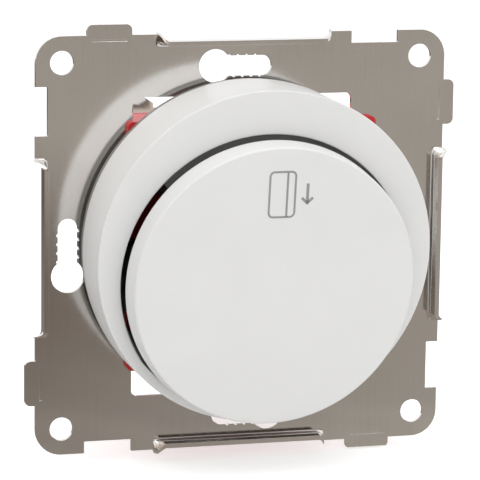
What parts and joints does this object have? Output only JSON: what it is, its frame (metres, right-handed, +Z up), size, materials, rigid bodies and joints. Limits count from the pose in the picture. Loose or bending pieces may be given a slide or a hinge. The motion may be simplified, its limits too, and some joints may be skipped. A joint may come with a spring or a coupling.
{
  "type": "key card switch",
  "caption": "Flush hotel key card switch: square steel mounting plate, round white cover with a leaning disc and card slot, red switch body behind.",
  "frame": {"origin": "middle of the mounting plate on its back face, which lies on the wall", "axes": "+X right and +Z up as seen from the front; the front faces -Y and the wall box is on the +Y side"},
  "size_m": [0.0746, 0.0562, 0.0746],
  "materials": {
    "zinc_sheet": "satin",
    "white_plastic": "satin",
    "red_plastic": "satin",
    "grey_plastic": "matt",
    "dark_plastic": "matt",
    "black_plastic": "matt",
    "screw_steel": "zinc plated",
    "spring_steel": "bright",
    "contact_brass": "bright"
  },
  "bodies": {
    "body": {"mounting_plate": "zinc_sheet", "ring_cover": "white_plastic", "front_disc": "white_plastic", "disc_backing": "white_plastic", "card_carrier": "dark_plastic", "housing": "red_plastic", "housing_back": "grey_plastic", "disc_screws": "screw_steel", "carrier_screws": "screw_steel", "back_screws": "screw_steel", "lever_pin": "screw_steel", "switch_pins": "screw_steel", "cover_springs": "spring_steel", "lever_spring": "spring_steel", "snap_spring": "spring_steel", "clamp_springs_top": "spring_steel", "clamp_springs_bottom": "spring_steel", "clamp_cages": "zinc_sheet", "switch_case": "black_plastic", "switch_lid": "black_plastic", "common_contact": "contact_brass", "break_contact": "contact_brass", "make_contact": "contact_brass", "common_bar": "contact_brass", "make_bar": "contact_brass", "break_bar": "contact_brass"},
    "lever": {"card_lever": "grey_plastic"},
    "plunger": {"switch_plunger": "white_plastic"},
    "arm": {"contact_arm": "contact_brass"},
    "top_button": {"release_button_top": "white_plastic"},
    "bottom_button": {"release_button_bottom": "white_plastic"}
  },
  "joints": [
    {"name": "lever_hinge", "type": "hinge", "parent": "body", "child": "lever", "pos_m": [0, -0.0085, -0.009], "axis": [-1, 0, 0], "range_deg": [0, 7], "stiffness_Nm_per_rad": 0.03, "springref_deg": -2.86, "deforming": ["lever_spring"]},
    {"name": "plunger_slide", "type": "slide", "parent": "body", "child": "plunger", "axis": [0, 1, 0], "range_m": [0, 0.001]},
    {"name": "arm_hinge", "type": "hinge", "parent": "body", "child": "arm", "pos_m": [-0.0096, 0.011, 0], "axis": [0, 0, 1], "range_deg": [0, 3], "deforming": ["snap_spring"]},
    {"name": "top_button_slide", "type": "slide", "parent": "body", "child": "top_button", "axis": [0, -1, 0], "range_m": [0, 0.0015], "stiffness_N_per_m": 1500, "deforming": ["clamp_springs_top"]},
    {"name": "bottom_button_slide", "type": "slide", "parent": "body", "child": "bottom_button", "axis": [0, -1, 0], "range_m": [0, 0.0015], "stiffness_N_per_m": 1500, "deforming": ["clamp_springs_bottom"]}
  ],
  "couplings": [
    {"joint": "plunger_slide", "follows": "lever_hinge", "m_per_rad": 0.00818},
    {"joint": "arm_hinge", "follows": "lever_hinge", "ratio": 0.4285}
  ]
}
